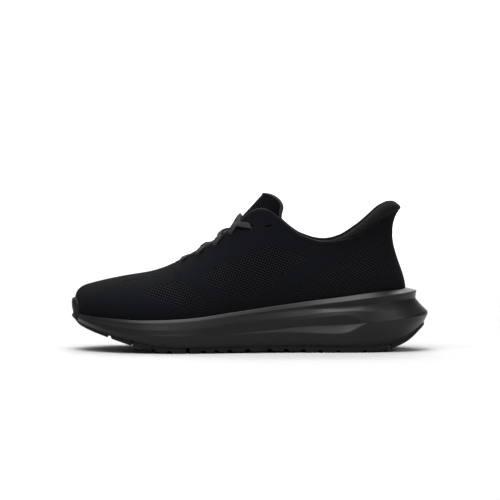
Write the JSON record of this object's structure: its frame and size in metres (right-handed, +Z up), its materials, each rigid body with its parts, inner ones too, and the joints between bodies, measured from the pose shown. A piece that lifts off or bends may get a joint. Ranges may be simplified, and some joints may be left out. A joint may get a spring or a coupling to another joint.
{
  "type": "running shoe",
  "caption": "Low black running shoe, left foot: knitted upper, flat crossed lacing, padded flared heel collar, ribbed tongue, thick sculpted foam midsole and rubber outsole.",
  "frame": {"origin": "centre of the bounding box, on the ground", "axes": "+X runs from the toe to the heel, +Y points to the medial (inner) side of the left foot, +Z is up"},
  "size_m": [0.3072, 0.1162, 0.1356],
  "materials": {
    "midsole_foam": "satin",
    "outsole_rubber": "matte",
    "knit": "matte",
    "knit_rib": "matte",
    "stiffener": "matte",
    "tape": "matte",
    "padding": "matte",
    "lining": "matte",
    "piping": "matte",
    "board": "matte",
    "sock_foam": "matte",
    "sock_cloth": "matte",
    "elastic": "matte",
    "lace": "matte"
  },
  "bodies": {
    "shoe": {"midsole": "midsole_foam", "outsole_toe": "outsole_rubber", "toe_bumper": "outsole_rubber", "outsole_forefoot_lateral": "outsole_rubber", "outsole_forefoot_medial": "outsole_rubber", "outsole_rail_lateral": "outsole_rubber", "outsole_rail_medial": "outsole_rubber", "outsole_heel": "outsole_rubber", "upper_knit": "knit", "toe_puff": "stiffener", "eyestay_tape_lateral": "tape", "eyestay_tape_medial": "tape", "heel_counter": "stiffener", "collar_foam": "padding", "collar_lining": "lining", "edge_piping_lateral": "piping", "edge_piping_medial": "piping", "strobel_board": "board", "tongue_face": "knit_rib", "tongue_foam": "padding", "tongue_lining": "lining", "tongue_gusset_lateral": "elastic", "tongue_gusset_medial": "elastic", "lace": "lace"},
    "tongue_tip": {"tongue_tip_face": "knit_rib", "tongue_tip_foam": "padding", "tongue_tip_lining": "lining", "tongue_binding": "piping"},
    "sockliner": {"sockliner_foam": "sock_foam", "sockliner_cover": "sock_cloth"}
  },
  "joints": [
    {"name": "tongue_flex", "type": "hinge", "parent": "shoe", "child": "tongue_tip", "pos_m": [-0.0019, 0, 0.1197], "axis": [0, -1, 0], "range_deg": [-4, 45], "stiffness_Nm_per_rad": 0.03},
    {"name": "sockliner_lift", "type": "hinge", "parent": "shoe", "child": "sockliner", "pos_m": [-0.1393, 0.006, 0.0299], "axis": [0, -1, 0], "range_deg": [0, 4]}
  ]
}
